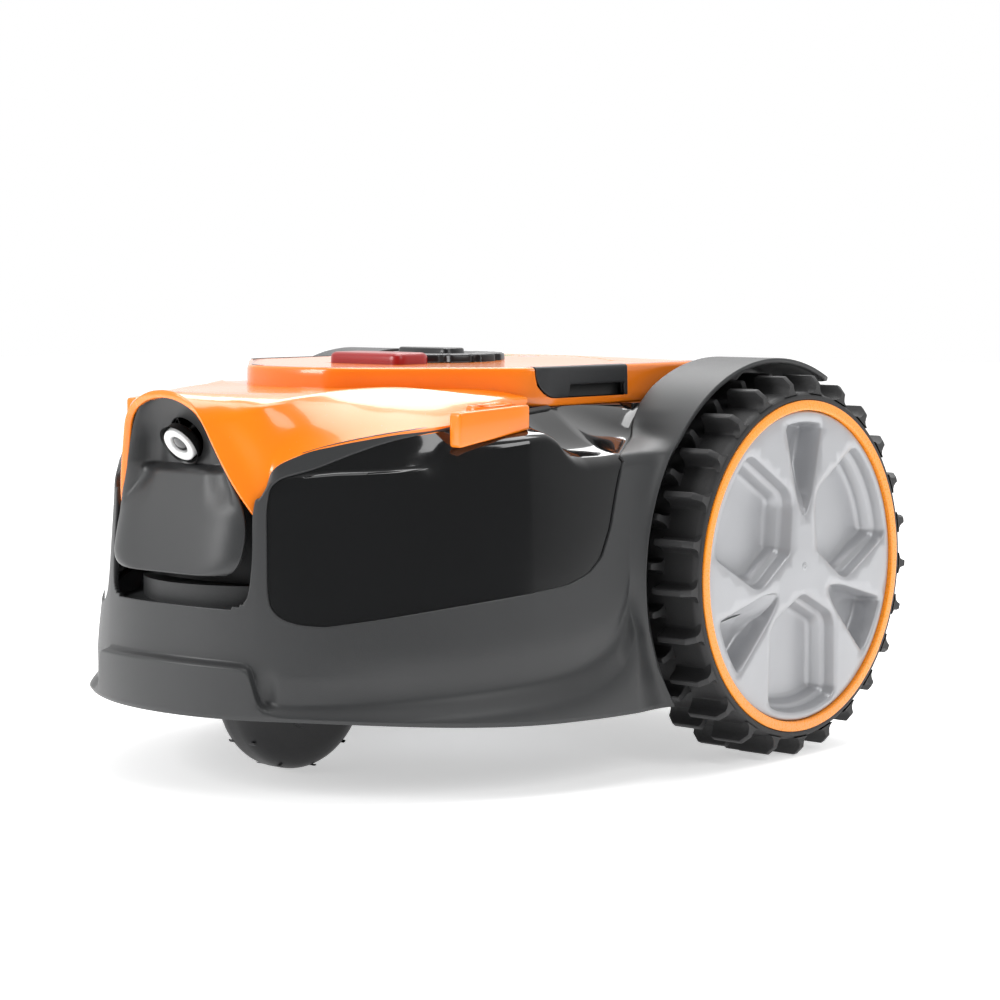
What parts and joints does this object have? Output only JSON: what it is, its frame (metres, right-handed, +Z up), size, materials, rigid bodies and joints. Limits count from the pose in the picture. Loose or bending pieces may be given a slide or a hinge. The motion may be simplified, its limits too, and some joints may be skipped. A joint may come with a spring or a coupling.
{
  "type": "robotic lawn mower",
  "caption": "Robotic lawn mower with orange hood, matte grey skirt, glossy side panels, lugged drive wheels, front caster and height-adjustable cutting disc.",
  "frame": {"origin": "on the ground under the middle of the machine's length and width", "axes": "+Z up, -Y towards the front, +X towards the machine's left side"},
  "size_m": [0.39, 0.44, 0.234],
  "materials": {
    "skirt_plastic": "fine-grained matte dark grey moulding",
    "hood_plastic": "glossy orange moulding",
    "panel_gloss": "piano-black gloss moulding",
    "snout_plastic": "satin dark grey moulding",
    "camera_black": "black housing",
    "ring_white": "white light ring",
    "lens_glass": "dark coated lens",
    "chassis_plastic": "structural black moulding",
    "bush_plastic": "natural acetal",
    "battery_case": "black battery case",
    "circuit_board": "green circuit board",
    "motor_steel": "plated motor can",
    "socket_black": "black socket",
    "fastener_steel": "zinc-plated steel",
    "stop_red": "satin red button",
    "key_black": "black key",
    "key_green": "green key",
    "key_grey": "grey key",
    "knob_black": "satin black knob",
    "latch_black": "satin black latch",
    "blade_steel": "bright steel",
    "tyre_rubber": "ribbed black rubber",
    "rim_plastic": "black wheel body",
    "hubcap_silver": "silver-painted plastic",
    "trim_yellow": "glossy amber ring",
    "caster_plastic": "smooth black tread"
  },
  "bodies": {
    "frame": {"skirt": "skirt_plastic", "wheel_arch_left": "skirt_plastic", "wheel_arch_right": "skirt_plastic", "hood": "hood_plastic", "side_panel_left": "panel_gloss", "side_panel_right": "panel_gloss", "snout_face": "snout_plastic", "camera_module": "camera_black", "camera_ring": "ring_white", "camera_lens": "lens_glass", "tail_shell": "skirt_plastic", "chassis": "chassis_plastic", "caster_socket": "bush_plastic", "battery_pack": "battery_case", "main_board": "circuit_board", "gear_motor_left": "motor_steel", "gear_motor_right": "motor_steel", "blade_guard": "chassis_plastic", "height_guide": "chassis_plastic", "charging_socket": "socket_black", "key_board": "circuit_board", "body_screws": "fastener_steel", "stop_spring": "fastener_steel", "stop_switch": "socket_black", "lid_pin": "fastener_steel"},
    "stop_button": {"stop_button": "stop_red"},
    "key_power": {"key_power": "key_black"},
    "key_start": {"key_start": "key_green"},
    "key_home": {"key_home": "key_grey"},
    "battery_lid": {"battery_lid": "skirt_plastic"},
    "latch_left": {"latch_left": "latch_black"},
    "latch_right": {"latch_right": "latch_black"},
    "height_knob": {"height_knob": "knob_black", "height_spindle": "fastener_steel"},
    "cutter_carriage": {"cutter_cup": "chassis_plastic", "cutter_motor": "motor_steel"},
    "cutting_disc": {"cutting_disc": "blade_steel", "blade_screws": "fastener_steel"},
    "blade_1": {"blade_1": "blade_steel"},
    "blade_2": {"blade_2": "blade_steel"},
    "blade_3": {"blade_3": "blade_steel"},
    "wheel_left": {"tyre_left": "tyre_rubber", "rim_left": "rim_plastic", "hubcap_left": "hubcap_silver", "trim_ring_left": "trim_yellow", "axle_left": "fastener_steel"},
    "wheel_right": {"tyre_right": "tyre_rubber", "rim_right": "rim_plastic", "hubcap_right": "hubcap_silver", "trim_ring_right": "trim_yellow", "axle_right": "fastener_steel"},
    "caster_fork": {"caster_fork": "chassis_plastic", "caster_pin": "fastener_steel"},
    "caster_wheel": {"caster_tyre": "caster_plastic", "caster_hub": "caster_plastic"}
  },
  "joints": [
    {"name": "wheel_left_spin", "type": "hinge", "parent": "frame", "child": "wheel_left", "pos_m": [0.17, 0.103, 0.11], "axis": [1, 0, 0], "continuous": true},
    {"name": "wheel_right_spin", "type": "hinge", "parent": "frame", "child": "wheel_right", "pos_m": [-0.17, 0.103, 0.11], "axis": [1, 0, 0], "continuous": true},
    {"name": "caster_swivel", "type": "hinge", "parent": "frame", "child": "caster_fork", "pos_m": [0, -0.133, 0.12], "axis": [0, 0, 1], "continuous": true},
    {"name": "caster_roll", "type": "hinge", "parent": "caster_fork", "child": "caster_wheel", "pos_m": [0, -0.118, 0.05], "axis": [1, 0, 0], "continuous": true},
    {"name": "height_turn", "type": "hinge", "parent": "frame", "child": "height_knob", "pos_m": [0, 0.007, 0.226], "axis": [0, 0, 1], "range_deg": [0, 270]},
    {"name": "height_slide", "type": "slide", "parent": "frame", "child": "cutter_carriage", "axis": [0, 0, -1], "range_m": [0, 0.04]},
    {"name": "disc_spin", "type": "hinge", "parent": "cutter_carriage", "child": "cutting_disc", "pos_m": [0, 0.016, 0.06], "axis": [0, 0, 1], "continuous": true},
    {"name": "blade_1_swing", "type": "hinge", "parent": "cutting_disc", "child": "blade_1", "pos_m": [0.049, 0.016, 0.0577], "axis": [0, 0, 1], "continuous": true},
    {"name": "blade_2_swing", "type": "hinge", "parent": "cutting_disc", "child": "blade_2", "pos_m": [-0.0245, 0.05844, 0.0577], "axis": [0, 0, 1], "continuous": true},
    {"name": "blade_3_swing", "type": "hinge", "parent": "cutting_disc", "child": "blade_3", "pos_m": [-0.0245, -0.02644, 0.0577], "axis": [0, 0, 1], "continuous": true},
    {"name": "stop_press", "type": "slide", "parent": "frame", "child": "stop_button", "axis": [0, 0, -1], "range_m": [0, 0.004], "stiffness_N_per_m": 500, "springref_m": -0.002, "deforming": ["stop_spring"]},
    {"name": "power_press", "type": "slide", "parent": "frame", "child": "key_power", "axis": [0, 0, -1], "range_m": [0, 0.0012], "stiffness_N_per_m": 300, "springref_m": -0.0006},
    {"name": "start_press", "type": "slide", "parent": "frame", "child": "key_start", "axis": [0, 0, -1], "range_m": [0, 0.0012], "stiffness_N_per_m": 300, "springref_m": -0.0006},
    {"name": "home_press", "type": "slide", "parent": "frame", "child": "key_home", "axis": [0, 0, -1], "range_m": [0, 0.0012], "stiffness_N_per_m": 300, "springref_m": -0.0006},
    {"name": "lid_open", "type": "hinge", "parent": "frame", "child": "battery_lid", "pos_m": [0, 0.203, 0.2192], "axis": [-1, 0, 0], "range_deg": [0, 100]},
    {"name": "latch_left_pull", "type": "hinge", "parent": "frame", "child": "latch_left", "pos_m": [0.1166, -0.005, 0.224], "axis": [0, -1, 0], "range_deg": [0, 25], "stiffness_Nm_per_rad": 0.05, "springref_deg": -5.73},
    {"name": "latch_right_pull", "type": "hinge", "parent": "frame", "child": "latch_right", "pos_m": [-0.1166, -0.005, 0.224], "axis": [0, 1, 0], "range_deg": [0, 25], "stiffness_Nm_per_rad": 0.05, "springref_deg": -5.73}
  ],
  "couplings": [
    {"joint": "height_turn", "follows": "height_slide", "rad_per_m": 117.8}
  ]
}
